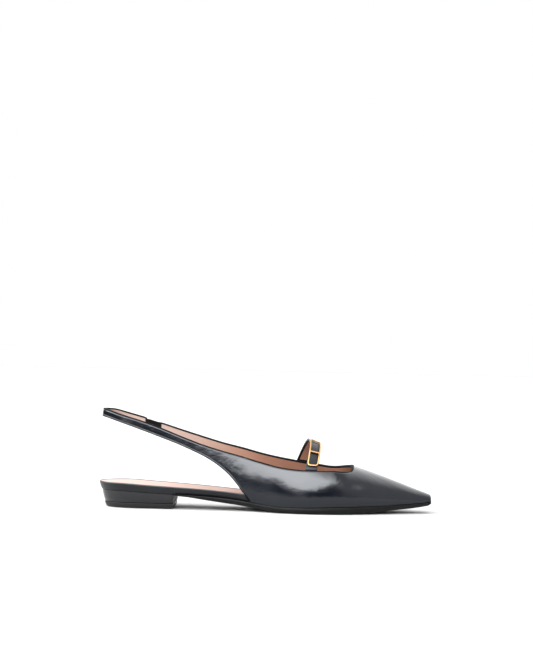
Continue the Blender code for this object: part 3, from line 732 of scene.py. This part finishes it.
def make_world():
    """Soft panel at the front left, pale behind and above, dim elsewhere, and white to the camera."""
    world = bpy.data.worlds.new("studio")
    bpy.context.scene.world = world
    world.use_nodes = True
    look = Look(world.node_tree)
    back = look.tree.nodes["Background"]
    direction = look.node("ShaderNodeTexCoord", {}, {}).outputs["Generated"]
    across, along, up = look.axes(direction)
    degree = math.degrees(1.0)
    turn = across.maths("ARCTAN2", across, 0.0 - along) * degree
    lift = up.maths("ARCSINE", up) * degree
    panel = panel_share(turn, lift)
    behind = along.rise(*BEHIND_ALONG) * across.rise(*BEHIND_ACROSS)
    side = turn.rise(*SIDE_TURN) * (1.0 - behind)
    overhead = up.rise(*OVERHEAD)
    paths = look.node("ShaderNodeLightPath", {}, {}).outputs
    shine = Number(look, paths["Is Glossy Ray"])
    glow = 0.0
    for light, place in ((PANEL, panel), (SIDE, side), (BACK, behind), (TOP, overhead), (ROOM, 1.0)):
        glow = glow + (light.soft + (light.shine - light.soft) * shine) * place
    seen = Number(look, paths["Is Camera Ray"])
    level = seen * WHITE + (1.0 - seen) * glow
    look.feed(back.inputs["Color"], colour_of(WHITE_COLOUR))
    look.feed(back.inputs["Strength"], level)


def make_camera():
    """Camera at the photograph's angle and framing."""
    camera = bpy.data.cameras.new("camera")
    camera.sensor_fit = "VERTICAL"
    camera.sensor_height = SENSOR
    camera.lens = VIEW_DISTANCE / VIEW_HEIGHT * SENSOR
    camera.shift_y = VIEW_DROP / VIEW_HEIGHT
    camera.clip_end = 50.0
    holder = bpy.data.objects.new("camera", camera)
    back = Vector((math.sin(VIEW_TURN), -math.cos(VIEW_TURN), 0.0))
    turn = (Matrix.Rotation(VIEW_TURN, 4, "Z") @ Matrix.Rotation(math.pi / 2.0, 4, "X")
            @ Matrix.Rotation(VIEW_ROLL, 4, "Z"))
    place = VIEW_CENTRE + VIEW_DISTANCE * back - VIEW_DROP * (turn @ Vector((0.0, 1.0, 0.0)))
    holder.matrix_world = Matrix.Translation(place) @ turn
    bpy.context.scene.collection.objects.link(holder)
    bpy.context.scene.camera = holder
    bpy.context.scene.view_settings.view_transform = "Standard"


CALF = calf_leather("black_calf_leather", (0.0022, 0.0032, 0.0062), (0.0040, 0.0052, 0.0088), 0.09,
                    edge=True)
EDGE = calf_leather("black_edge_leather", (0.0085, 0.0090, 0.0105), (0.013, 0.013, 0.0135), 0.5, 0.02)
STRAP = calf_leather("black_strap_leather", (0.0040, 0.0046, 0.0066), (0.0060, 0.0068, 0.0090), 0.22, 0.2)
WRAP = calf_leather("black_wrap_leather", (0.0040, 0.0045, 0.0060), (0.0060, 0.0066, 0.0082), 0.28, 0.35)
# The linings' second colour is painted shade: they turn darker and warmer deeper inside the shoe
LINING = lining_leather("nude_lining_leather", (0.41, 0.30, 0.255), (0.30, 0.150, 0.098), (-0.085, 0.000))
SOCK = lining_leather("nude_sock_leather", (0.58, 0.42, 0.375), (0.40, 0.27, 0.23), (-0.110, -0.040), 0.1)
SOLE = sole_leather("black_sole_leather")
HEEL = heel_leather("black_heel_leather")
BREAST = breast_leather("black_breast_leather")
LIFT = lift_rubber("black_lift_rubber")
ELASTIC = elastic_weave("black_elastic_weave")
GOLD = gold_plating("pale_gold_plating")


def make_all():
    make_camera()
    make_world()
    make_studio()
    upper, edge_points = make_upper()
    on_shoe(upper, ["upper"])
    on_shoe(make_lining(upper, edge_points), [])
    on_shoe(make_band(), ["insole_board"])
    on_shoe(bevelled("outsole", "black_outsole", SOLE, SOLE_BEVEL), ["outsole"])
    on_shoe(make_sock(), ["sock"])
    on_shoe(make_heel(), ["heel_block"])
    on_shoe(bevelled("top_lift", "rubber_top_lift", LIFT, LIFT_BEVEL), ["top_lift"])
    on_shoe(make_elastic(), ["elastic"])
    on_shoe(bevelled("instep_strap", "instep_strap_leather", STRAP, STRAP_BEVEL), ["instep_strap"])
    on_shoe(make_strap_lining(), [])
    on_shoe(bevelled("strap_frame", "gold_strap_frame", GOLD, FRAME_BEVEL), ["strap_frame"])


make_all()
